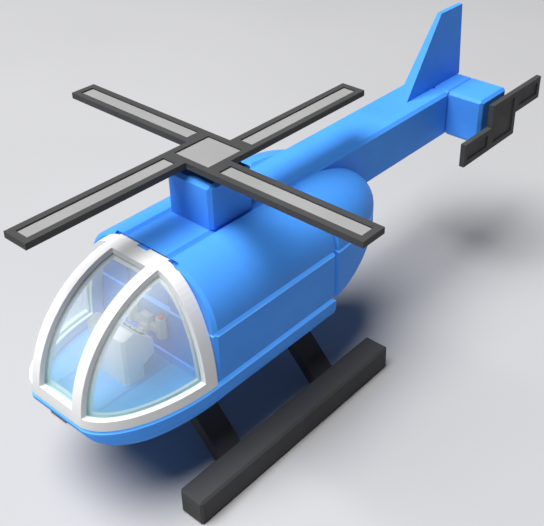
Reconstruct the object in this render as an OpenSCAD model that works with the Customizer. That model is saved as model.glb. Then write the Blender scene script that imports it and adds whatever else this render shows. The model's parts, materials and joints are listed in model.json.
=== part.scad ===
// Toy helicopter built from hollow moulded blocks on one square grid.
// Frame: +X is the port side, +Y points aft, +Z is up. The origin is on the ground, under
// the middle of the bounding box. The nose tip is at -6 units and the tail tip at +6 units.

/* [Block grid] */
// Edge length of one block of the building grid
unit = 25; // [24:0.5:27]
// Chamfer along the edges of every block
bevel = 1.5; // [0.8:0.1:1.8]
// Wall thickness of the moulded shells
wall = 2.5; // [2.2:0.1:2.7]

/* [Canopy] */
// Depth of the canopy frame from its outer to its inner face
frame_t = 5.5; // [5:0.1:6]
// Depth of the window panes behind the outer face of the frame
pane_depth = 2.5; // [2:0.1:2.8]
// Thickness of the groove that holds each pane
pane_slot = 1.5; // [1.2:0.1:1.8]
// How far each pane reaches into the frame
pane_lap = 1.2; // [0.8:0.1:1.4]
// Radius of the canopy hinge knuckles
knuckle_r = 1.6; // [1.5:0.05:1.8]
// Radius of the canopy hinge pin
hinge_pin_r = 0.7; // [0.6:0.05:0.8]
// Gap left round the closed canopy
canopy_gap = 0.3; // [0.2:0.05:0.5]

/* [Rotors] */
// Height of the block that carries each rotor
base_h = 20; // [18:0.5:20]
// Distance from the seat of that block to the outer face of its rotor
rotor_h = 27; // [26:0.5:28]
// Thickness of the rotor plates
rotor_t = 2.75; // [2.5:0.05:3]
// Width of the rims round the rotor panels
rim_w = 2.9; // [2.4:0.1:3.2]
// Depth of the rotor panels below the rims
panel_drop = 0.7; // [0.4:0.1:0.9]
// Thickness of the inlaid panels
panel_t = 1; // [0.8:0.1:1.2]
// Radius of the rotor shafts
shaft_r = 1.5; // [1.4:0.1:1.8]

/* [Landing gear] */
// Horizontal thickness of the slanted struts
strut_t = 7.5; // [6:0.5:8]
// Run of the struts sideways for each millimetre of drop
strut_slope = 0.95; // [0.93:0.01:0.96]

/* [Tail fin] */
// Height of the fin above the boom
fin_h = 38.75; // [30:0.25:40]
// Thickness of the fin at its root
fin_root_t = 6; // [5.5:0.1:7]
// Thickness of the fin at its tip
fin_tip_t = 2.5; // [2:0.1:4]

/* [Hidden] */
$fn = 48;

// Heights of the layers
roof_z = 4 * unit;
shoulder_z = 3 * unit;
floor_z = 2 * unit;
belly_z = 1.5 * unit;
skid_h = 0.5 * unit;

// Stations along the length
nose_len = 2 * unit;
front_y = -4 * unit;
cabin_back_y = -unit;
boom_end_y = 4 * unit;
tail_back_y = 5 * unit;
rotor_y = -2.5 * unit;

// Half widths
side_x = 1.5 * unit;
spine_x = 0.5 * unit;

// Sizes shared by several pieces
slip = 0.05;
push_fit = 0.02;
eps = 0.01;
front_wall = 4.5;
belly_round = 0.3 * unit;
stern_round = 5;

// Fasteners
screw_r = 1.25;
screw_bore_r = 1.3;
screw_head_r = 2.5;
screw_head_h = 2;
screw_recess = 2.4;
head_gap = 0.2;
belly_screw_len = 20;
nose_screw_len = 12;
roof_screw_len = 14;
keel_screw_len = 13;
screw_hole = 12;
small_screw_r = 0.95;
small_bore_r = 1;
small_head_r = 1.9;
small_head_h = 1.2;
strut_screw_len = 7;
block_screw_len = 10;
post_r = 3.4;
slim_post_r = 2.4;

belly_screw_at = [for (x = [-1, 1], y = [front_y + 16, cabin_back_y - 16]) [x * (side_x - 8), y]];
shoulder_screw_at = [for (y = [front_y + 24, cabin_back_y - 10]) [spine_x + 13, y]];
spine_screw_y = [front_y + 13, cabin_back_y - 9];
roof_screw_at = concat(
    [for (y = spine_screw_y) [0, y]],
    [for (s = [-1, 1], p = shoulder_screw_at) [s * p[0], p[1]]]
);
nose_screw_x = side_x - 14;
nose_screw_z = floor_z - wall - 3.2;
keel_screw_x = side_x - 13;
keel_screw_z = shoulder_z - 9;
mast_screw_at = 7.2;

// Struts
strut_w = 0.5 * unit;
strut_y = [front_y + strut_w / 2, cabin_back_y - strut_w / 2];
strut_in_x = 1;
neck_w = 6.5;
flange_x = 20;
flange_t = 2;
strut_screw_x = 14.5;
tenon = [5.5, 8, 3.6];
tenon_z = 2;
foot_lift = 0.5;

// Canopy openings
mullion_in = 0.4 * unit;
mullion_out = 0.6 * unit;
crossbar_y = front_y - 0.31 * unit;
arch_y = front_y - 0.25 * unit;
front_sill_z = floor_z + 0.25 * unit;
side_sill_z = floor_z + 0.19 * unit;
hinge_y = front_y;
hinge_z = roof_z - knuckle_r;
relief_r = knuckle_r + 0.4;
relief_x = 18;
knuckle_x = [3, 14];

// Cockpit
console_x = 0.44 * unit;
console_front_y = front_y - 0.957 * unit;
console_back_y = front_y - 0.36 * unit;
yoke_y = front_y - 2.5;
yoke_z = floor_z + 12.6;
yoke_turn_r = 2.6;
column_r = 1.4;
column_len = 15;
column_boss_r = 2.4;
column_boss_y = console_back_y - 6;
block_half = [2.6, 1.6];
block_top_z = floor_z + 18.6;
bar_half = [7.9, 1.1, 1.4];
bar_z = yoke_z + 1.2;
grip_x = 9;
grip_r = 2.3;
grip_z = [floor_z + 11.5, floor_z + 21];
button_r = 1.25;

// Rotor bearings
bush_r = 2.5;
bush_flange_r = 4.5;
bush_flange_t = 1.2;
boss_r = 4.6;
boss_low = 8;
clip_r = 3.2;
clip_t = 1.1;
clip_gap = 0.3;
hub_boss_r = 4;
clip_room = 0.8;
shaft_low = 4.5;
shaft_grip = 0.5;

blue = [0.30, 0.60, 1.0];
dark = [0.20, 0.20, 0.20];
grey = [0.66, 0.66, 0.66];
white = [0.95, 0.95, 0.95];
cabin_grey = [0.80, 0.80, 0.80];
steel = [0.75, 0.76, 0.78];
brass = [0.80, 0.65, 0.30];
clear = [0.70, 0.90, 1.0, 0.4];

// ---------- Shape helpers ----------

// Extrudes a YZ outline along X
module along_x(x0, x1)
    translate([x0, 0, 0]) rotate([90, 0, 90]) linear_extrude(x1 - x0) children();

// Extrudes an XZ outline along Y
module along_y(y0, y1)
    translate([0, y1, 0]) rotate([90, 0, 0]) linear_extrude(y1 - y0) children();

// Extrudes an XY outline along Z
module along_z(z0, z1)
    translate([0, 0, z0]) linear_extrude(z1 - z0) children();

module box(lo, hi)
    translate(lo) cube(hi - lo);

module rod_x(r, x0, x1, y, z)
    translate([x0, y, z]) rotate([0, 90, 0]) cylinder(r = r, h = x1 - x0);

module rod_y(r, y0, y1, x, z)
    translate([x, y1, z]) rotate([90, 0, 0]) cylinder(r = r, h = y1 - y0);

module rod_z(r, z0, z1, x, y)
    translate([x, y, z0]) cylinder(r = r, h = z1 - z0);

// Corner of an outline, cut off by c along the directions d and e
function corner(p, d, e, c) = c > 0 ? [p + c * d, p + c * e] : [p];

// Rectangle whose corners are cut off, starting at the lowest and going anticlockwise
function cut_rect(lo, hi, c) = concat(
    corner([lo[0], lo[1]], [0, 1], [1, 0], c[0]),
    corner([hi[0], lo[1]], [-1, 0], [0, 1], c[1]),
    corner([hi[0], hi[1]], [0, -1], [-1, 0], c[2]),
    corner([lo[0], hi[1]], [1, 0], [0, -1], c[3])
);

all_cut = [1, 1, 1, 1];
top_cut = [0, 0, 1, 1];

// Block with chamfered edges: cx, cy and cz say which edges along X, Y and Z are cut
module block(lo, hi, cx = all_cut, cy = all_cut, cz = all_cut, c = bevel) {
    intersection() {
        along_x(lo[0], hi[0]) polygon(cut_rect([lo[1], lo[2]], [hi[1], hi[2]], c * cx));
        along_y(lo[1], hi[1]) polygon(cut_rect([lo[0], lo[2]], [hi[0], hi[2]], c * cy));
        along_z(lo[2], hi[2]) polygon(cut_rect([lo[0], lo[1]], [hi[0], hi[1]], c * cz));
    }
}

// Cross-head screw standing on its head
module screw(r, length, head_r, head_h) {
    difference() {
        union() {
            cylinder(r = head_r, h = head_h);
            cylinder(r = r, h = length);
        }
        for (a = [0, 90])
            rotate([0, 0, a])
                translate([-head_r * 0.6, -0.3, -eps])
                    cube([head_r * 1.2, 0.6, head_h * 0.4]);
    }
}

// Mirrors its children to the starboard side
module starboard()
    mirror([1, 0, 0]) children();

// ---------- Nose outline ----------

nose_steps = 22;

// Half outline of the nose seen from above: a straight middle and two quarter ellipses.
// Each point is [distance from the cross axis, sideways place].
function nose_half(inset) = [
    for (i = [0 : nose_steps])
        let (a = 90 * i / nose_steps)
        [(nose_len - inset) * cos(a), spine_x + (unit - inset) * sin(a)]
];

function flip_list(v) = [for (i = [len(v) - 1 : -1 : 0]) v[i]];

function nose_points(inset) = concat(
    nose_half(inset),
    [for (p = flip_list(nose_half(inset))) [p[0], -p[1]]]
);

// Dome that the nose outline sweeps about its cross axis, from the floor to the roof
module nose_dome(inset)
    translate([0, front_y, floor_z])
        rotate([90, 0, -90])
            rotate_extrude(angle = 90, $fn = 96)
                polygon(nose_points(inset));

module nose_shell(outer, inner) {
    difference() {
        nose_dome(outer);
        nose_dome(inner);
    }
}

// Plan of the nose, as an XY outline
module nose_plan(inset)
    polygon([for (p = nose_points(inset)) [p[1], front_y - p[0]]]);

// ---------- Hull ----------

bow_drop = floor_z - belly_z;
bow_blunt = 2 / 3;

// Side view of the bow: steep at the nose tip, then running aft into the flat belly
module bow_profile(inset) {
    curve = [
        for (t = [0 : 5 : 90])
            [
                front_y - (nose_len - inset) * cos(t),
                floor_z - (bow_drop - inset) * pow(sin(t), bow_blunt)
            ]
    ];
    polygon(concat(
        [[curve[0][0], floor_z + 2]],
        curve,
        [[front_y + 1, belly_z + inset], [front_y + 1, floor_z + 2]]
    ));
}

bilge_start = 0.1 * unit;
bilge_in = 0.3 * unit;
bilge_reach = 0.45 * unit;

// Body of the nose tub, drawn in by inset: its sides round in towards the keel
module tub_form(inset, top, cut)
    intersection() {
        hull() {
            for (a = [0 : 15 : 90])
                along_z(floor_z - bilge_start - (bilge_reach - inset) * sin(a), top - cut)
                    nose_plan(inset + bilge_in * (1 - cos(a)));
            along_z(floor_z - bilge_start, top) nose_plan(inset + cut);
        }
        along_x(-side_x - 1, side_x + 1) bow_profile(inset);
    }

floor_post_at = [for (s = [-1, 1], p = [[12, -34], [24, -12]]) [s * p[0], front_y + p[1]]];
floor_post_r = 2.6;
peg_r = 1.5;
peg_len = 4;
nose_post_r = 3;
nose_post_len = 11;

module nose_tub() {
    color(blue) difference() {
        tub_form(0, floor_z, bevel);
        difference() {
            intersection() {
                tub_form(wall, floor_z + 1, 0);
                box([-side_x, front_y - nose_len, belly_z], [side_x, front_y - wall, floor_z + 2]);
            }
            for (p = floor_post_at)
                rod_z(floor_post_r, belly_z, floor_z - wall, p[0], p[1]);
            for (s = [-1, 1])
                rod_y(nose_post_r, front_y - nose_post_len, front_y, s * nose_screw_x, nose_screw_z);
        }
        for (p = floor_post_at)
            rod_z(peg_r, belly_z + 4, floor_z, p[0], p[1]);
        for (s = [-1, 1])
            rod_y(screw_bore_r, front_y - nose_post_len + 1, front_y + 1, s * nose_screw_x, nose_screw_z);
    }
}

groove = 1.1;
console_lug = 2.5;
console_peg_at = [for (s = [-1, 1]) [s * 6.5, console_front_y + 5]];

module cockpit_floor() {
    color(blue) {
        difference() {
            intersection() {
                along_z(floor_z - wall, floor_z) nose_plan(wall + slip);
                along_x(-side_x, side_x) bow_profile(wall + slip);
                box([-side_x, front_y - nose_len, 0], [side_x, front_y - wall - slip, floor_z + 1]);
            }
            for (s = [-1, 1])
                translate([s * spine_x, front_y, floor_z])
                    rotate([0, 45, 0])
                        translate([-groove / 2, -nose_len, -groove / 2])
                            cube([groove, nose_len + 1, groove]);
            for (p = console_peg_at)
                rod_z(peg_r, floor_z - wall - 1, floor_z + 1, p[0], p[1]);
        }
        for (p = floor_post_at)
            rod_z(peg_r - slip, floor_z - wall - peg_len, floor_z - wall + eps, p[0], p[1]);
    }
}

module cabin_block() {
    lo = [-side_x, front_y, floor_z];
    hi = [side_x, cabin_back_y, shoulder_z];
    color(blue) difference() {
        union() {
            difference() {
                block(lo, hi);
                box(lo + [wall, wall, -1], hi - wall * [1, 1, 1]);
            }
            for (p = belly_screw_at)
                rod_z(post_r, floor_z + slip, shoulder_z - wall + eps, p[0], p[1]);
        }
        for (p = belly_screw_at)
            rod_z(screw_bore_r, floor_z - 1, shoulder_z - wall - 3, p[0], p[1]);
        for (p = roof_screw_at)
            rod_z(screw_bore_r, floor_z, shoulder_z + 1, p[0], p[1]);
        for (s = [-1, 1])
            rod_y(screw_bore_r, cabin_back_y - 5, cabin_back_y + 1, s * keel_screw_x, keel_screw_z);
    }
}

// Outline from x0 to x1 with its lower corners rounded by r and its upper corners chamfered.
// Drawn in by inset it is the hollow inside, which runs out through the top.
module belly_section(x0, x1, round_low, r, inset) {
    top = inset > 0 ? floor_z + 1 : floor_z;
    cut = inset > 0 ? 0 : bevel;
    difference() {
        polygon(cut_rect([x0 + inset, belly_z + inset], [x1 - inset, top], cut * top_cut));
        for (s = round_low)
            translate([s > 0 ? x1 - inset : x0 + inset, belly_z + inset])
                difference() {
                    translate([s > 0 ? -r : -1, -1]) square([r + 1, r + 1]);
                    translate([-s * r, r]) circle(r = r);
                }
    }
}

// The hollow keeps a square corner at the stern, where the flanges of the rear struts lie
module tray_form(inset)
    intersection() {
        along_y(front_y + inset, cabin_back_y - inset)
            belly_section(-side_x, side_x, [-1, 1], belly_round - inset, inset);
        along_x(-side_x + inset, side_x - inset)
            belly_section(front_y, cabin_back_y, inset > 0 ? [] : [1], stern_round, inset);
    }

module belly_tray() {
    head_z = belly_z + screw_recess;
    color(blue) difference() {
        tray_form(0);
        difference() {
            tray_form(wall);
            for (p = belly_screw_at)
                rod_z(post_r + 0.8, belly_z, floor_z, p[0], p[1]);
        }
        for (p = belly_screw_at) {
            rod_z(screw_bore_r, belly_z - 1, floor_z + 1, p[0], p[1]);
            rod_z(screw_head_r + head_gap, belly_z - 1, head_z, p[0], p[1]);
        }
        for (s = [-1, 1], y = strut_y) {
            x0 = s > 0 ? strut_in_x - slip : -strut_in_x - strut_t - slip;
            box([x0, y - neck_w / 2 - slip, belly_z - 1],
                [x0 + strut_t + 2 * slip, y + neck_w / 2 + slip, belly_z + wall + 1]);
            rod_z(small_bore_r + 0.1, belly_z - 1, belly_z + wall + 1, s * strut_screw_x, y);
            rod_z(small_head_r + head_gap, belly_z - 1, belly_z + small_head_h, s * strut_screw_x, y);
        }
        for (s = [-1, 1])
            rod_y(screw_bore_r, front_y - 1, front_y + wall + 1, s * nose_screw_x, nose_screw_z);
    }
}

// ---------- Roof, boom and rear ----------

module spine_boom() {
    color(blue) difference() {
        union() {
            difference() {
                block([-spine_x, front_y, shoulder_z], [spine_x, boom_end_y, roof_z]);
                box([-spine_x + wall, front_y + front_wall, shoulder_z - 1],
                    [spine_x - wall, cabin_back_y - wall, roof_z - wall]);
                box([-spine_x + wall, cabin_back_y, shoulder_z + wall],
                    [spine_x - wall, boom_end_y + 1, roof_z - wall]);
                rod_x(relief_r, -spine_x - 1, spine_x + 1, hinge_y, hinge_z);
            }
            rod_x(knuckle_r, -knuckle_x[0] + canopy_gap, knuckle_x[0] - canopy_gap, hinge_y, hinge_z);
            box([-knuckle_x[0] + canopy_gap, hinge_y + 0.5, hinge_z - 2 * knuckle_r],
                [knuckle_x[0] - canopy_gap, hinge_y + front_wall - eps, hinge_z + knuckle_r / 2]);
            for (y = spine_screw_y)
                rod_z(post_r, shoulder_z, roof_z - wall + eps, 0, y);
        }
        rod_x(hinge_pin_r + push_fit, -spine_x, spine_x, hinge_y, hinge_z);
        for (y = spine_screw_y)
            rod_z(screw_bore_r, shoulder_z - 1, shoulder_z + screw_hole, 0, y);
        for (s = [-1, 1])
            rod_z(small_bore_r + 0.1, roof_z - wall - 1, roof_z + 1, 0, rotor_y + s * mast_screw_at);
        rod_z(clip_r + clip_room, roof_z - wall - 1, roof_z + 1, 0, rotor_y);
        rod_z(fin_peg_r + slip, roof_z - wall - 1, roof_z + 1, 0, fin_peg_y[0]);
    }
}

// Quarter-round cover beside the spine, swept about the edge of the cabin top
module shoulder_port() {
    y0 = front_y;
    y1 = cabin_back_y;
    color(blue) difference() {
        union() {
            difference() {
                quarter_round(unit, y0, y1, bevel);
                intersection() {
                    quarter_round(unit - wall, y0 + front_wall, y1 - wall, 0);
                    box([spine_x + wall, y0, shoulder_z - 1], [side_x, y1, roof_z]);
                }
            }
            for (p = shoulder_screw_at)
                intersection() {
                    rod_z(post_r, shoulder_z, roof_z, p[0], p[1]);
                    quarter_round(unit - 1, y0, y1, 0);
                }
        }
        for (p = shoulder_screw_at)
            rod_z(screw_bore_r, shoulder_z - 1, shoulder_z + screw_hole, p[0], p[1]);
        rod_x(relief_r, spine_x - 1, relief_x, hinge_y, hinge_z);
    }
}

// Quarter of a cylinder along Y, chamfered by c at its ends and along its straight edges
module quarter_round(r, y0, y1, c) {
    x1 = spine_x + r;
    z1 = shoulder_z + r;
    intersection() {
        translate([spine_x, 0, shoulder_z])
            rotate([90, 0, 0])
                rotate_extrude(angle = 90, $fn = 96)
                    polygon(cut_rect([0, -y1], [r, -y0], [0, c, c, 0]));
        along_y(y0, y1) polygon(cut_rect([spine_x, shoulder_z], [x1, z1], [0, c, 0, c]));
    }
}

// Half outline of a rear dome: a quarter ellipse, as [radius, distance behind the cabin]
function dome_half(inset) = [
    for (i = [0 : nose_steps])
        let (a = 90 * i / nose_steps)
        [(unit - inset) * cos(a), -(nose_len - inset) * sin(a)]
];

// Eighth of an egg behind each shoulder, chamfered by c along its flat seams
module dome_solid(inset, c) {
    r = unit - inset;
    intersection() {
        translate([spine_x, cabin_back_y, shoulder_z])
            rotate([90, 0, 0])
                rotate_extrude(angle = 90, $fn = 96)
                    intersection() {
                        polygon(concat([[0, 0]], dome_half(inset)));
                        polygon(cut_rect([0, -nose_len], [r, 0], [0, 0, c, 0]));
                    }
        along_y(cabin_back_y, cabin_back_y + nose_len)
            polygon(cut_rect([spine_x, shoulder_z], [spine_x + r, shoulder_z + r], [0, 0, 0, c]));
    }
}

dome_peg_at = [spine_x + 9, cabin_back_y + 9];
dome_peg_len = 6;
dome_post_r = 3;
keel_post_r = 3.8;
keel_post_len = 13;

module rear_dome_port() {
    color(blue) difference() {
        union() {
            difference() {
                dome_solid(0, bevel);
                intersection() {
                    dome_solid(wall, 0);
                    box([spine_x + wall, cabin_back_y + wall, shoulder_z - 1],
                        [side_x, cabin_back_y + nose_len, roof_z]);
                }
            }
            intersection() {
                rod_z(dome_post_r, shoulder_z, roof_z, dome_peg_at[0], dome_peg_at[1]);
                dome_solid(1, 0);
            }
            rod_z(slim_post_r, shoulder_z - dome_peg_len, shoulder_z + 1, dome_peg_at[0], dome_peg_at[1]);
        }
    }
}

keel_sag = 0.12 * unit;
keel_chord = unit * sqrt(5);
keel_r = (keel_chord * keel_chord / 4 + keel_sag * keel_sag) / (2 * keel_sag);
keel_centre = [cabin_back_y + unit, floor_z + unit / 2] + (keel_r - keel_sag) * [-1, 2] / sqrt(5);

// Side view of the keel, which is swept up to the boom in a long shallow arc
module keel_profile(inset) {
    intersection() {
        translate([cabin_back_y, floor_z]) square([nose_len, unit - inset]);
        translate(keel_centre) circle(r = keel_r - inset, $fn = 256);
    }
}

// Plan of the keel and the domes: the nose outline turned round
module tail_plan(inset)
    polygon([for (p = nose_points(inset)) [p[1], cabin_back_y + p[0]]]);

// The same plan, with chamfered corners against the cabin
module keel_plan() {
    intersection() {
        tail_plan(0);
        polygon(cut_rect(
            [-side_x, cabin_back_y],
            [side_x, cabin_back_y + nose_len],
            [bevel, bevel, 0, 0]
        ));
    }
}

module tail_keel() {
    color(blue) difference() {
        union() {
            difference() {
                intersection() {
                    along_x(-side_x, side_x) keel_profile(0);
                    hull() {
                        along_z(floor_z - 1, shoulder_z - bevel) keel_plan();
                        along_z(floor_z - 1, shoulder_z) tail_plan(bevel);
                    }
                }
                intersection() {
                    along_x(-side_x, side_x) keel_profile(wall);
                    along_z(floor_z, shoulder_z) tail_plan(wall);
                    box([-side_x, cabin_back_y + wall, floor_z],
                        [side_x, cabin_back_y + nose_len, shoulder_z]);
                }
            }
            for (s = [-1, 1]) {
                rod_z(keel_post_r, shoulder_z - 9, shoulder_z - 1, s * dome_peg_at[0], dome_peg_at[1]);
                rod_y(post_r, cabin_back_y + 1, cabin_back_y + keel_post_len,
                    s * keel_screw_x, keel_screw_z);
            }
        }
        for (s = [-1, 1]) {
            rod_z(slim_post_r + slip, shoulder_z - dome_peg_len - 1, shoulder_z + 1,
                s * dome_peg_at[0], dome_peg_at[1]);
            rod_y(screw_bore_r, cabin_back_y - 1, cabin_back_y + keel_post_len - 2,
                s * keel_screw_x, keel_screw_z);
        }
    }
}

tail_plug_len = 10;
tail_axis = [spine_x, (boom_end_y + tail_back_y) / 2, (shoulder_z + roof_z) / 2];

module tail_end_block() {
    in = wall + 0.1;
    color(blue) difference() {
        union() {
            block([-spine_x, boom_end_y, shoulder_z], [spine_x, tail_back_y, roof_z]);
            box([-spine_x + in, boom_end_y - tail_plug_len, shoulder_z + in],
                [spine_x - in, boom_end_y + 3, roof_z - in]);
        }
        box([-spine_x + 2 * wall, boom_end_y - tail_plug_len - 1, shoulder_z + 2 * wall],
            [spine_x - 2 * wall, tail_back_y - wall, roof_z - 2 * wall]);
        box([0, boom_end_y + 3, shoulder_z + wall],
            [spine_x - wall, tail_back_y - wall, roof_z - wall]);
        rod_x(clip_r + clip_room, 0, spine_x + 1, tail_axis[1], tail_axis[2]);
        for (s = [-1, 1])
            rod_x(small_bore_r + 0.1, 0, spine_x + 1, tail_axis[1] + s * mast_screw_at, tail_axis[2]);
        rod_z(fin_peg_r + slip, roof_z - 2 * wall - 1, roof_z + 1, 0, fin_peg_y[1]);
    }
}

fin_tip_y = tail_back_y - 0.8 * unit;
fin_root_y = tail_back_y - 2 * unit;
fin_peg_r = 2;
fin_peg_len = 5;
fin_peg_y = [fin_root_y + 9, tail_back_y - 12];

module tail_fin() {
    t0 = fin_root_t / 2;
    t1 = fin_tip_t / 2;
    top = roof_z + fin_h;
    color(blue) {
        intersection() {
            along_x(-t0, t0)
                polygon([[fin_root_y, roof_z], [tail_back_y, roof_z], [tail_back_y, top], [fin_tip_y, top]]);
            along_y(fin_root_y, tail_back_y)
                polygon([[-t0, roof_z], [t0, roof_z], [t1, top], [-t1, top]]);
        }
        for (y = fin_peg_y)
            rod_z(fin_peg_r, roof_z - fin_peg_len, roof_z + 2, 0, y);
    }
}

// ---------- Rotor bearings, drawn about +Z with the seat at zero ----------

module bearing_block() {
    h = unit / 2;
    difference() {
        union() {
            difference() {
                block([-h, -h, 0], [h, h, base_h], cx = top_cut, cy = top_cut);
                box([-h + wall, -h + wall, -1], [h - wall, h - wall, base_h - wall]);
            }
            cylinder_between(boss_r, boss_low, base_h - 1);
            for (s = [-1, 1])
                translate([0, s * mast_screw_at, 0])
                    cylinder_between(slim_post_r, 0, base_h - 1);
        }
        cylinder_between(bush_r + push_fit, boss_low - 1, base_h + 1);
        for (s = [-1, 1])
            translate([0, s * mast_screw_at, 0])
                cylinder_between(small_bore_r, -1, block_screw_len);
    }
}

module cylinder_between(r, z0, z1)
    translate([0, 0, z0]) cylinder(r = r, h = z1 - z0);

module bush() {
    difference() {
        union() {
            cylinder_between(bush_r, boss_low, base_h + 0.5);
            cylinder_between(bush_flange_r, base_h, base_h + bush_flange_t);
        }
        cylinder_between(shaft_r + slip, 0, base_h + 5);
    }
}

module shaft()
    cylinder_between(shaft_r, shaft_low, rotor_h - rotor_t + shaft_grip);

module retaining_clip() {
    difference() {
        cylinder_between(clip_r, boss_low - clip_gap - clip_t, boss_low - clip_gap);
        cylinder_between(shaft_r, 0, boss_low);
    }
}

module block_screws() {
    for (s = [-1, 1])
        translate([0, s * mast_screw_at, -wall - small_head_h])
            screw(small_screw_r, block_screw_len, small_head_r, small_head_h);
}

module on_mast()
    translate([0, rotor_y, roof_z]) children();

module on_tail()
    translate(tail_axis) rotate([0, 90, 0]) children();

// ---------- Rotors, drawn in the same place as their bearings ----------

blade_w = 0.5 * unit;
blade_tip = 3.5 * unit;
tail_tip = 1.5 * unit;
window = blade_w - 2 * rim_w;

// Places a blade outline so that one long edge lies on the rotor's centre line
module blade_turn(i)
    rotate([0, 0, 90 * i]) children();

module blade_outline(tip)
    translate([0, -blade_w]) square([tip, blade_w]);

module blade_window(tip, gap = 0)
    translate([unit / 2 + rim_w + gap, -blade_w + rim_w + gap])
        square([tip - unit / 2 - 2 * rim_w - 2 * gap, window - 2 * gap]);

module hub_window(gap = 0)
    square(unit - 2 * rim_w - 2 * gap, center = true);

module rotor_plate(turns, tip, pocket) {
    z1 = rotor_h;
    z0 = rotor_h - rotor_t;
    difference() {
        union() {
            along_z(z0, z1)
                union() {
                    square(unit, center = true);
                    for (i = turns)
                        blade_turn(i) blade_outline(tip);
                }
            cylinder_between(hub_boss_r, base_h + bush_flange_t + clip_gap, z0 + shaft_grip);
        }
        along_z(z1 - pocket, z1 + 1)
            hub_window();
        for (i = turns)
            blade_turn(i) along_z(z1 - pocket, z1 + 1) blade_window(tip);
        cylinder_between(shaft_r + push_fit, 0, z0 + shaft_grip + push_fit);
    }
}

module panel_slab()
    along_z(rotor_h - panel_drop - panel_t, rotor_h - panel_drop) children();

module blade_panel(i)
    color(grey) on_mast() blade_turn(i) panel_slab() blade_window(blade_tip, slip);

// ---------- Landing gear ----------

module skid_port() {
    color(dark) difference() {
        block([side_x, -5 * unit, 0], [side_x + 0.5 * unit, 0, skid_h], c = 1);
        for (y = strut_y)
            box([side_x - 1, y - tenon[1] / 2 - slip, tenon_z - slip],
                [side_x + tenon[0] + 0.3, y + tenon[1] / 2 + slip, tenon_z + tenon[2] + slip]);
    }
}

// Slanted strut whose neck passes through the belly and turns into a flange on its floor
module strut_port(y) {
    out_x = strut_in_x + strut_t;
    top = belly_z + wall;
    color(dark) difference() {
        union() {
            along_y(y - strut_w / 2, y + strut_w / 2)
                polygon([
                    [strut_in_x, belly_z],
                    [strut_in_x + strut_slope * (belly_z - foot_lift), foot_lift],
                    [side_x, foot_lift],
                    [side_x, belly_z - (side_x - out_x) / strut_slope],
                    [out_x, belly_z]
                ]);
            along_y(y - neck_w / 2, y + neck_w / 2)
                polygon([
                    [strut_in_x, belly_z - 1],
                    [out_x, belly_z - 1],
                    [out_x, top],
                    [flange_x, top],
                    [flange_x, top + flange_t],
                    [strut_in_x, top + flange_t]
                ]);
            rod_z(2.8, top, top + 6, strut_screw_x, y);
            box([side_x - 1, y - tenon[1] / 2, tenon_z],
                [side_x + tenon[0], y + tenon[1] / 2, tenon_z + tenon[2]]);
        }
        rod_z(small_bore_r, top - 1, top + 5.5, strut_screw_x, y);
    }
}

// ---------- Screws ----------

module belly_screws()
    color(steel) for (p = belly_screw_at)
        translate([p[0], p[1], belly_z + screw_recess - screw_head_h])
            screw(screw_r, belly_screw_len, screw_head_r, screw_head_h);

module strut_screws()
    color(steel) for (s = [-1, 1], y = strut_y)
        translate([s * strut_screw_x, y, belly_z])
            screw(small_screw_r, strut_screw_len, small_head_r, small_head_h);

module nose_screws()
    color(steel) for (s = [-1, 1])
        translate([s * nose_screw_x, front_y + wall + screw_head_h, nose_screw_z])
            rotate([90, 0, 0])
                screw(screw_r, nose_screw_len, screw_head_r, screw_head_h);

module roof_screws()
    color(steel) for (p = roof_screw_at)
        translate([p[0], p[1], shoulder_z - wall - screw_head_h])
            screw(screw_r, roof_screw_len, screw_head_r, screw_head_h);

module keel_screws()
    color(steel) for (s = [-1, 1])
        translate([s * keel_screw_x, cabin_back_y - wall - screw_head_h, keel_screw_z])
            rotate([-90, 0, 0])
                screw(screw_r, keel_screw_len, screw_head_r, screw_head_h);

// ---------- Canopy ----------

// Space of the windscreen, grown by g on every side
module front_opening(g)
    box([-mullion_in - g, front_y - nose_len - 1, front_sill_z - g],
        [mullion_in + g, crossbar_y + g, roof_z + 1]);

// Space of the port window, grown by g on every side
module side_opening(g)
    box([mullion_out - g, front_y - nose_len - 1, side_sill_z - g],
        [side_x + 1, arch_y + g, roof_z + 1]);

module all_openings(g) {
    front_opening(g);
    side_opening(g);
    starboard() side_opening(g);
}

module canopy_frame() {
    back = front_y - canopy_gap;
    color(white) difference() {
        union() {
            intersection() {
                nose_shell(0, frame_t);
                box([-side_x, front_y - nose_len - 1, floor_z + canopy_gap], [side_x, back, roof_z + 1]);
            }
            for (s = [-1, 1]) {
                x0 = s > 0 ? knuckle_x[0] : -knuckle_x[1];
                rod_x(knuckle_r, x0, x0 + knuckle_x[1] - knuckle_x[0], hinge_y, hinge_z);
            }
        }
        all_openings(0);
        intersection() {
            nose_shell(pane_depth, pane_depth + pane_slot);
            all_openings(pane_lap);
        }
        rod_x(knuckle_r + canopy_gap, -knuckle_x[0], knuckle_x[0], hinge_y, hinge_z);
        rod_x(hinge_pin_r + 0.07, -side_x, side_x, hinge_y, hinge_z);
    }
}

module pane() {
    color(clear) intersection() {
        nose_shell(pane_depth + slip, pane_depth + pane_slot - slip);
        children();
    }
}

module windscreen()
    pane() front_opening(pane_lap - slip);

module side_window_port()
    pane() side_opening(pane_lap - slip);

module canopy_hinge_pin()
    color(steel) rod_x(hinge_pin_r, -knuckle_x[1], knuckle_x[1], hinge_y, hinge_z);

// ---------- Cockpit ----------

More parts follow.
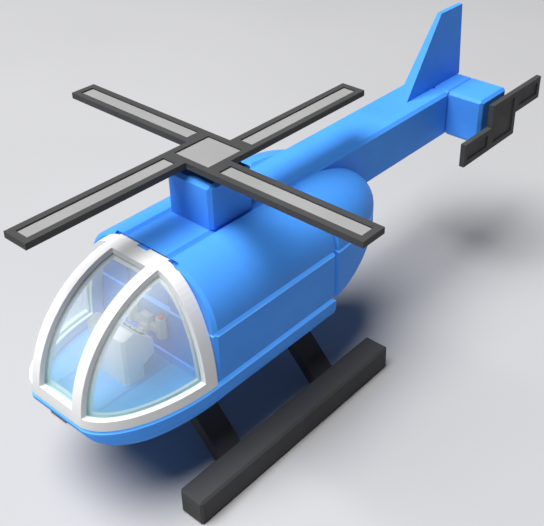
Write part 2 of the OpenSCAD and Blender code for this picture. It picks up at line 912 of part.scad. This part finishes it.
console_front_z = floor_z + 0.89 * unit;
console_top_z = floor_z + 0.94 * unit;
console_lip_z = floor_z + 0.63 * unit;
console_step_z = [floor_z + 0.23 * unit, floor_z + 0.35 * unit];
console_ridge_y = console_front_y + 0.23 * unit;
console_foot_y = console_front_y + 0.35 * unit;
console_wall = 2;
console_cut = [1.2, 1.2, 0, 0];
strip = [18, 4.4, 0.9];
strip_sunk = 0.8;
key = [2, 1.3, 0.8];
key_pitch = [2.9, 1.9];

// Side view of the instrument console, leaning back towards the pilot
module console_profile() {
    polygon([
        [console_front_y, floor_z],
        [console_foot_y, floor_z],
        [console_foot_y, console_step_z[0]],
        [console_back_y, console_step_z[1]],
        [console_back_y, console_lip_z],
        [console_ridge_y, console_top_z],
        [console_front_y, console_front_z]
    ]);
}

module console() {
    w = console_wall;
    color(cabin_grey) difference() {
        union() {
            difference() {
                intersection() {
                    along_x(-console_x, console_x) console_profile();
                    along_z(floor_z, console_top_z)
                        polygon(cut_rect(
                            [-console_x, console_front_y],
                            [console_x, console_back_y],
                            console_cut
                        ));
                }
                along_x(-console_x + w, console_x - w)
                    polygon([
                        [console_front_y + w, floor_z - 1],
                        [console_foot_y - w, floor_z - 1],
                        [console_foot_y - w, console_step_z[0] + w],
                        [console_back_y - w, console_step_z[1] + w],
                        [console_back_y - w, console_lip_z - w / 2],
                        [console_ridge_y, console_top_z - 1.4 * w],
                        [console_front_y + w, console_front_z - w]
                    ]);
            }
            for (p = console_peg_at)
                rod_z(peg_r - slip, floor_z - wall, floor_z + 5, p[0], p[1]);
            for (p = console_peg_at)
                box([p[0] - console_lug, console_front_y + 1, floor_z],
                    [p[0] + console_lug, p[1] + 2, floor_z + 3]);
            rod_y(column_boss_r, column_boss_y, console_back_y - w + eps, 0, yoke_z);
        }
        rod_y(column_r + slip, console_back_y - 10, console_back_y + 1, 0, yoke_z);
        key_place()
            translate([-strip[0] / 2 - slip, -strip[1] / 2 - slip, -strip_sunk])
                cube([strip[0] + 2 * slip, strip[1] + 2 * slip, 5]);
    }
}

key_tilt = atan2(console_top_z - console_lip_z, console_back_y - console_ridge_y);
key_shift = 1.5;

// Puts its children on the sloping top of the console
module key_place()
    translate([0, (console_ridge_y + console_back_y) / 2, (console_top_z + console_lip_z) / 2])
        rotate([-key_tilt, 0, 0])
            translate([0, key_shift, 0])
                children();

// Dark strip let into the top of the console, with two rows of keys
module console_keys() {
    color(dark) key_place() {
        translate([-strip[0] / 2, -strip[1] / 2, slip - strip_sunk]) cube(strip);
        for (i = [-2.5 : 2.5], j = [-0.5, 0.5])
            translate([i * key_pitch[0] - key[0] / 2, j * key_pitch[1] - key[1] / 2, 0])
                cube(key);
    }
}

module control_yoke() {
    b = bar_half;
    color(cabin_grey) {
        rod_y(yoke_turn_r, yoke_y - 3.2, yoke_y + 1.6, 0, yoke_z);
        rod_y(column_r, yoke_y - column_len, yoke_y, 0, yoke_z);
        box([-block_half[0], yoke_y - block_half[1], yoke_z],
            [block_half[0], yoke_y + block_half[1], block_top_z]);
        box([-b[0], yoke_y - b[1], bar_z - b[2]], [b[0], yoke_y + b[1], bar_z + b[2]]);
    }
}

module yoke_clip() {
    y = column_boss_y - clip_gap;
    color(steel) difference() {
        rod_y(column_boss_r, y - clip_t, y, 0, yoke_z);
        rod_y(column_r, y - 5, y + 5, 0, yoke_z);
    }
}

module grip_port() {
    b = bar_half + slip * [1, 1, 1];
    color(cabin_grey) difference() {
        translate([grip_x, yoke_y, grip_z[0]])
            cylinder(r = grip_r, h = grip_z[1] - grip_z[0], $fn = 6);
        box([0, yoke_y - b[1], bar_z - b[2]], [b[0], yoke_y + b[1], bar_z + b[2]]);
        rod_z(button_r + push_fit, grip_z[1] - 1.5, grip_z[1] + 1, grip_x, yoke_y);
    }
}

module grip_button_port()
    color("red") rod_z(button_r, grip_z[1] - 1.5, grip_z[1] + 1, grip_x, yoke_y);

// ---------- Assembly ----------

nose_tub();
cockpit_floor();
cabin_block();
belly_tray();
spine_boom();
shoulder_port();
starboard() shoulder_port();  // shoulder_starboard
rear_dome_port();
starboard() rear_dome_port();  // rear_dome_starboard
tail_keel();
tail_end_block();
tail_fin();
color(blue) on_mast() bearing_block();  // mast_block
color(blue) on_tail() bearing_block();  // tail_rotor_block
skid_port();
starboard() skid_port();  // skid_starboard
strut_port(strut_y[0]);  // strut_front_port
starboard() strut_port(strut_y[0]);  // strut_front_starboard
strut_port(strut_y[1]);  // strut_rear_port
starboard() strut_port(strut_y[1]);  // strut_rear_starboard
belly_screws();
strut_screws();
nose_screws();
roof_screws();
keel_screws();
color(steel) on_mast() block_screws();  // mast_screws
color(steel) on_tail() block_screws();  // tail_block_screws
canopy_frame();
windscreen();
side_window_port();
starboard() side_window_port();  // side_window_starboard
canopy_hinge_pin();
console();
console_keys();
control_yoke();
yoke_clip();
grip_port();
starboard() grip_port();  // grip_starboard
grip_button_port();
starboard() grip_button_port();  // grip_button_starboard
color(dark) on_mast() rotor_plate([0, 1, 2, 3], blade_tip, panel_drop + panel_t);  // main_rotor_frame
color(grey) on_mast() panel_slab() hub_window(slip);  // hub_panel
blade_panel(3);  // blade_panel_front
blade_panel(0);  // blade_panel_port
blade_panel(1);  // blade_panel_aft
blade_panel(2);  // blade_panel_starboard
color(steel) on_mast() shaft();  // rotor_shaft
color(brass) on_mast() bush();  // rotor_bush
color(steel) on_mast() retaining_clip();  // rotor_clip
color(dark) on_tail() mirror([1, 0, 0]) rotor_plate([1, 3], tail_tip, panel_drop);  // tail_rotor
color(steel) on_tail() shaft();  // tail_rotor_shaft
color(brass) on_tail() bush();  // tail_rotor_bush
color(steel) on_tail() retaining_clip();  // tail_rotor_clip
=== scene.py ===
import json
import math

import bmesh
import bpy
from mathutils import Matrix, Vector


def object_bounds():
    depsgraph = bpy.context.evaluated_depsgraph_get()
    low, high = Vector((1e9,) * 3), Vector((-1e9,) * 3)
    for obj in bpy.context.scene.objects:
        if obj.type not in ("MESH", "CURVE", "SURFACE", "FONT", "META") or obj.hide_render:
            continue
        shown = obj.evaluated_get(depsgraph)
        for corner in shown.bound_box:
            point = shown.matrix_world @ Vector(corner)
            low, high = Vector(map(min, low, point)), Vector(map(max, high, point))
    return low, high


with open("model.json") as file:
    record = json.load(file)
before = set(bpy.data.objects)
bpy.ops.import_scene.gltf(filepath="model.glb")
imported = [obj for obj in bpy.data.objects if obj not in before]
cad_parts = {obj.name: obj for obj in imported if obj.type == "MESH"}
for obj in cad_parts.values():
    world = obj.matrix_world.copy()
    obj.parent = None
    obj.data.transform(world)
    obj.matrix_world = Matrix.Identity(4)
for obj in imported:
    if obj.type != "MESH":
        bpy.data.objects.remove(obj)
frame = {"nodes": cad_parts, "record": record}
cad_lo, cad_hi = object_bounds()
nodes = frame["nodes"]
record = frame["record"]

MM = 0.001
BLOCK = (cad_hi.y - cad_lo.y) / 12  # edge of one block of the building grid

SEAM_HEIGHTS = [cad_lo.z + 2 * BLOCK, cad_lo.z + 3 * BLOCK]  # top of the tray, top of the cabin block
SEAM_DEPTH = 1.6 * MM  # how far the chamfers reach down from a seam
# Colour of the painted highlight and glow on the seam chamfers
SEAM_HIGHLIGHT_COLOUR = (0.11, 0.42, 1.0)
SEAM_GLOW = 0.45  # light that the chamfers give off, so that their lit look survives the shade

PANE_FOOT = cad_lo.z + 2.1 * BLOCK  # the tint of the panes fades from here
PANE_CLEAR = cad_lo.z + 3.1 * BLOCK  # to here

KEY_SLOPE = math.radians(39.9)  # tilt of the strip of keys on the console

CAMERA_AZIMUTH = math.radians(40.028)
CAMERA_ELEVATION = math.radians(31.570)
CAMERA_PLACE = (9.682 * BLOCK, -11.555 * BLOCK, 12.096 * BLOCK)
CAMERA_LENS = 61.29
CAMERA_SHIFT = (-0.0646, -0.1012)

LAMP_PLACE = (-0.34, -0.84, 2.55)
LAMP_TARGET = (0, 0, 0.06)
LAMP_SIZE = 2.1
LAMP_POWER = 134
SKY_STRENGTH = 0.06
FLOOR_RADIUS = 6


# ---------- Materials ----------

def node_tree(name):
    """A new node material: returns it with its tree, its shader and object coordinates."""
    material = bpy.data.materials.new(name)
    material.use_nodes = True
    tree = material.node_tree
    shader = tree.nodes["Principled BSDF"]
    coords = tree.nodes.new("ShaderNodeTexCoord")
    return material, tree, shader, coords.outputs["Object"]


def noise(tree, coords, scale, detail, rough=0.55):
    """A noise texture; scale is in waves per metre."""
    node = tree.nodes.new("ShaderNodeTexNoise")
    node.inputs["Scale"].default_value = scale
    node.inputs["Detail"].default_value = detail
    node.inputs["Roughness"].default_value = rough
    tree.links.new(coords, node.inputs["Vector"])
    return node.outputs["Fac"]


def spread(tree, value, low, high, start=0.3, end=0.7):
    """Maps a value that runs from start to end onto the range from low to high."""
    node = tree.nodes.new("ShaderNodeMapRange")
    node.inputs["From Min"].default_value = start
    node.inputs["From Max"].default_value = end
    node.inputs["To Min"].default_value = low
    node.inputs["To Max"].default_value = high
    tree.links.new(value, node.inputs["Value"])
    return node.outputs["Result"]


def tint(tree, value, low, high):
    """Mixes two colours by a value between 0 and 1."""
    node = tree.nodes.new("ShaderNodeMix")
    node.data_type = "RGBA"
    node.inputs["A"].default_value = (*low, 1)
    node.inputs["B"].default_value = (*high, 1)
    tree.links.new(value, node.inputs["Factor"])
    return node.outputs["Result"]


def combine(tree, operation, first, second):
    """Adds or multiplies two values; second is a socket or a plain number."""
    node = tree.nodes.new("ShaderNodeMath")
    node.operation = operation
    tree.links.new(first, node.inputs[0])
    if isinstance(second, (int, float)):
        node.inputs[1].default_value = second
    else:
        tree.links.new(second, node.inputs[1])
    return node.outputs["Value"]


def axis_z(tree, vector):
    """The Z part of a vector."""
    node = tree.nodes.new("ShaderNodeSeparateXYZ")
    tree.links.new(vector, node.inputs["Vector"])
    return node.outputs["Z"]


def paint_over(tree, shader, colour, mask):
    """Lays a plain colour over the shader's base colour where the mask is 1."""
    body = shader.inputs["Base Color"].links[0].from_socket
    mix = tree.nodes.new("ShaderNodeMix")
    mix.data_type = "RGBA"
    mix.inputs["B"].default_value = (*colour, 1)
    tree.links.new(body, mix.inputs["A"])
    tree.links.new(mask, mix.inputs["Factor"])
    tree.links.new(mix.outputs["Result"], shader.inputs["Base Color"])


def bump(tree, height, distance, strength, below=None):
    """A bumped normal, laid over another bump when below is given."""
    node = tree.nodes.new("ShaderNodeBump")
    node.inputs["Distance"].default_value = distance
    node.inputs["Strength"].default_value = strength
    tree.links.new(height, node.inputs["Height"])
    if below is not None:
        tree.links.new(below, node.inputs["Normal"])
    return node.outputs["Normal"]


def moulded(name, colour, rough, grain=0.5, spec=0.5, coat=0.0, vary=0.06):
    """Injection-moulded plastic: a faint flow mottle, a fine spark texture and handling marks."""
    material, tree, shader, coords = node_tree(name)
    mottle = spread(tree, noise(tree, coords, 38, 3), 0, 1)
    dark = [c * (1 - vary) for c in colour]
    light = [min(1, c * (1 + vary)) for c in colour]
    tree.links.new(tint(tree, mottle, dark, light), shader.inputs["Base Color"])
    marks = noise(tree, coords, 160, 6, 0.7)
    tree.links.new(spread(tree, marks, rough - 0.05, rough + 0.09), shader.inputs["Roughness"])
    wave = bump(tree, noise(tree, coords, 60, 2), 0.4 * MM, 0.06)
    fine = bump(tree, noise(tree, coords, 2600, 2), 0.05 * MM, grain, wave)
    tree.links.new(fine, shader.inputs["Normal"])
    shader.inputs["Specular IOR Level"].default_value = spec
    shader.inputs["Coat Weight"].default_value = coat
    shader.inputs["Coat Roughness"].default_value = 0.12
    return material


def paint_seam_highlight(material, levels, depth, colour, glow):
    """Paints a highlight on the chamfers that face upwards just below these heights, with a faint glow
    as well, so that they look lit though the block above shades them.
    """
    tree = material.node_tree
    shader = tree.nodes["Principled BSDF"]
    coords = tree.nodes["Texture Coordinate"]
    facing_up = spread(tree, axis_z(tree, coords.outputs["Normal"]), 0, 1, 0.25, 0.45)
    height = axis_z(tree, coords.outputs["Object"])
    bands = None
    for level in levels:
        band = tree.nodes.new("ShaderNodeMath")
        band.operation = "COMPARE"
        band.inputs[1].default_value = level - depth / 2 - 0.05 * MM
        band.inputs[2].default_value = depth / 2
        tree.links.new(height, band.inputs[0])
        value = band.outputs["Value"]
        bands = value if bands is None else combine(tree, "ADD", bands, value)
    # Mask of the painted highlight: the upward-facing chamfer bands
    seam = combine(tree, "MULTIPLY", facing_up, bands)
    paint_over(tree, shader, colour, seam)
    # Painted glow from the same chamfers
    shader.inputs["Emission Color"].default_value = (*colour, 1)
    tree.links.new(combine(tree, "MULTIPLY", seam, glow), shader.inputs["Emission Strength"])


def turned_metal(name, colour, rough):
    """Metal with fine turning marks and slight tarnish."""
    material, tree, shader, coords = node_tree(name)
    tarnish = spread(tree, noise(tree, coords, 300, 5), 0, 1)
    dark = [c * 0.8 for c in colour]
    tree.links.new(tint(tree, tarnish, dark, colour), shader.inputs["Base Color"])
    tree.links.new(spread(tree, noise(tree, coords, 900, 3), rough - 0.06, rough + 0.1),
                   shader.inputs["Roughness"])
    tree.links.new(bump(tree, noise(tree, coords, 4000, 2), 0.03 * MM, 0.4), shader.inputs["Normal"])
    shader.inputs["Metallic"].default_value = 1.0
    return material


def clear_pane(name, low, high):
    """Clear moulded sheet, tinted low down, with a faint ripple and fingermarks in its gloss."""
    material, tree, shader, coords = node_tree(name)
    height = axis_z(tree, coords)
    rise = spread(tree, height, 0, 1, PANE_FOOT, PANE_CLEAR)
    tree.links.new(tint(tree, rise, low, high), shader.inputs["Base Color"])
    tree.links.new(spread(tree, height, 0.31, 0.22, PANE_FOOT, PANE_CLEAR), shader.inputs["Alpha"])
    shader.inputs["IOR"].default_value = 1.45
    tree.links.new(spread(tree, noise(tree, coords, 220, 6, 0.7), 0.02, 0.09, 0.4, 0.8),
                   shader.inputs["Roughness"])
    tree.links.new(bump(tree, noise(tree, coords, 45, 2), 0.3 * MM, 0.05), shader.inputs["Normal"])
    return material


LOOKS = {
    "blue_plastic": moulded("blue_plastic", (0.071, 0.325, 0.96), 0.45, grain=0.25, spec=0.12),
    "dark_plastic": moulded("dark_plastic", (0.060, 0.060, 0.061), 0.55, grain=0.5, spec=0.14),
    "grey_panel": moulded("grey_panel", (0.29, 0.29, 0.29), 0.6, grain=0.45, spec=0.15),
    "white_frame": moulded("white_frame", (0.79, 0.79, 0.79), 0.35, grain=0.2, spec=0.25, vary=0.02),
    "window_clear": clear_pane("window_clear", (0.42, 0.92, 1.0), (0.90, 1.0, 1.0)),
    "cabin_grey": moulded("cabin_grey", (0.88, 0.88, 0.88), 0.5, grain=0.3, spec=0.3),
    "red_button": moulded("red_button", (0.95, 0.05, 0.05), 0.3, grain=0.1, coat=0.3),
    "steel": turned_metal("steel", (0.6, 0.61, 0.63), 0.3),
    "brass": turned_metal("brass", (0.72, 0.53, 0.22), 0.28),
}

# The flat cockpit floor has no painted seam highlight, and is a lighter blue: painted light where the
# canopy frame and panes shade it.
# The yoke and its grips are a darker grey than the console.
yoke_grey = moulded("yoke_grey", (0.60, 0.60, 0.60), 0.5, grain=0.3, spec=0.25)
NODE_LOOK = {
    "cockpit_floor": moulded("floor_blue_painted_light", (0.11, 0.43, 1.0), 0.45, grain=0.25, spec=0.12),
    "control_yoke": yoke_grey,
    "grip_port": yoke_grey,
    "grip_starboard": yoke_grey,
}

# Painted highlight and glow on the upward seam chamfers of the blue plastic
paint_seam_highlight(LOOKS["blue_plastic"], SEAM_HEIGHTS, SEAM_DEPTH, SEAM_HIGHLIGHT_COLOUR, SEAM_GLOW)


# ---------- CAD nodes: materials and softened edges ----------

def soften(obj, width, segments=2):
    """Merges the flat triangles and rounds the edges with a fine moulding radius."""
    flat = obj.modifiers.new("flat_faces", "DECIMATE")
    flat.decimate_type = "DISSOLVE"
    flat.angle_limit = math.radians(0.2)
    edge = obj.modifiers.new("mould_radius", "BEVEL")
    edge.width = width
    edge.segments = segments
    edge.limit_method = "ANGLE"
    edge.angle_limit = math.radians(32)
    edge.use_clamp_overlap = True
    edge.harden_normals = True
    edge.miter_outer = "MITER_ARC"


# Edge radius in millimetres for each look, and for one node its own radius and number of steps
EDGE = {
    "blue_plastic": 0.35,
    "dark_plastic": 0.3,
    "white_frame": 0.3,
    "cabin_grey": 0.3,
    "grey_panel": 0.15,
    "red_button": 0.2,
}
NODE_EDGE = {"console": (1.0, 1)}


def printed_keys(strip, slope):
    """Dark strip whose raised keys have light printed tops; slope is the tilt of the strip."""
    normal = Vector((0, math.sin(slope), math.cos(slope)))
    crest = max(normal.dot(v.co) for v in strip.data.vertices)
    material = moulded("printed_keys", (0.09, 0.09, 0.09), 0.5, grain=0.4, spec=0.2)
    tree = material.node_tree
    height = tree.nodes.new("ShaderNodeVectorMath")
    height.operation = "DOT_PRODUCT"
    height.inputs[1].default_value = normal
    tree.links.new(tree.nodes["Texture Coordinate"].outputs["Object"], height.inputs[0])
    ink = spread(tree, height.outputs["Value"], 0, 1, crest - 0.3 * MM, crest - 0.2 * MM)
    paint_over(tree, tree.nodes["Principled BSDF"], (0.72, 0.72, 0.72), ink)
    return material


for part in record["subparts"]:
    obj = nodes[part["node"]]
    obj.data.materials.clear()
    if part["node"] == "console_keys":
        look = printed_keys(obj, KEY_SLOPE)
    else:
        look = NODE_LOOK.get(part["node"], LOOKS[part["material_slot"]])
    obj.data.materials.append(look)
    if part["node"] in NODE_EDGE:
        width, segments = NODE_EDGE[part["node"]]
        soften(obj, width * MM, segments)
    elif part["material_slot"] in EDGE:
        soften(obj, EDGE[part["material_slot"]] * MM)


# ---------- Stage, light and camera ----------

def new_object(name, data):
    """A new object in the scene, from a mesh, a lamp or a camera."""
    obj = bpy.data.objects.new(name, data)
    bpy.context.scene.collection.objects.link(obj)
    return obj


def make_floor():
    """Plain pale floor, just under the skids."""
    mesh = bpy.data.meshes.new("floor")
    form = bmesh.new()
    bmesh.ops.create_circle(form, cap_ends=True, segments=96, radius=FLOOR_RADIUS)
    form.to_mesh(mesh)
    form.free()
    floor = new_object("floor", mesh)
    floor.location.z = cad_lo.z - 0.05 * MM
    material, tree, shader, coords = node_tree("studio_floor")
    tone = spread(tree, noise(tree, coords, 3, 3), 0, 1)
    tree.links.new(tint(tree, tone, (0.44, 0.44, 0.45), (0.47, 0.47, 0.48)), shader.inputs["Base Color"])
    shader.inputs["Roughness"].default_value = 0.75
    shader.inputs["Specular IOR Level"].default_value = 0.2
    mesh.materials.append(material)


def area_light(name, place, target, size, power):
    """Round soft lamp that points at the target."""
    data = bpy.data.lights.new(name, "AREA")
    data.shape = "DISK"
    data.size = size
    data.energy = power
    light = new_object(name, data)
    light.location = place
    light.rotation_euler = (Vector(target) - Vector(place)).to_track_quat("-Z", "Y").to_euler()


def make_world(strength):
    """Faint even light from all round."""
    world = bpy.data.worlds.new("studio")
    world.use_nodes = True
    back = world.node_tree.nodes["Background"]
    back.inputs["Color"].default_value = (0.95, 0.97, 1.0, 1)
    back.inputs["Strength"].default_value = strength
    bpy.context.scene.world = world


def make_camera():
    """Camera above the port side of the nose, close enough for a strong perspective."""
    back = Vector((
        math.sin(CAMERA_AZIMUTH) * math.cos(CAMERA_ELEVATION),
        -math.cos(CAMERA_AZIMUTH) * math.cos(CAMERA_ELEVATION),
        math.sin(CAMERA_ELEVATION),
    ))
    data = bpy.data.cameras.new("camera")
    data.lens = CAMERA_LENS
    data.shift_x, data.shift_y = CAMERA_SHIFT
    data.clip_start = 0.01
    data.clip_end = 50
    camera = new_object("camera", data)
    camera.location = CAMERA_PLACE
    camera.rotation_mode = "QUATERNION"
    camera.rotation_quaternion = (-back).to_track_quat("-Z", "Y")
    bpy.context.scene.camera = camera


make_floor()
make_world(SKY_STRENGTH)
area_light("key", LAMP_PLACE, LAMP_TARGET, LAMP_SIZE, LAMP_POWER)
make_camera()
bpy.context.scene.view_settings.view_transform = "Standard"
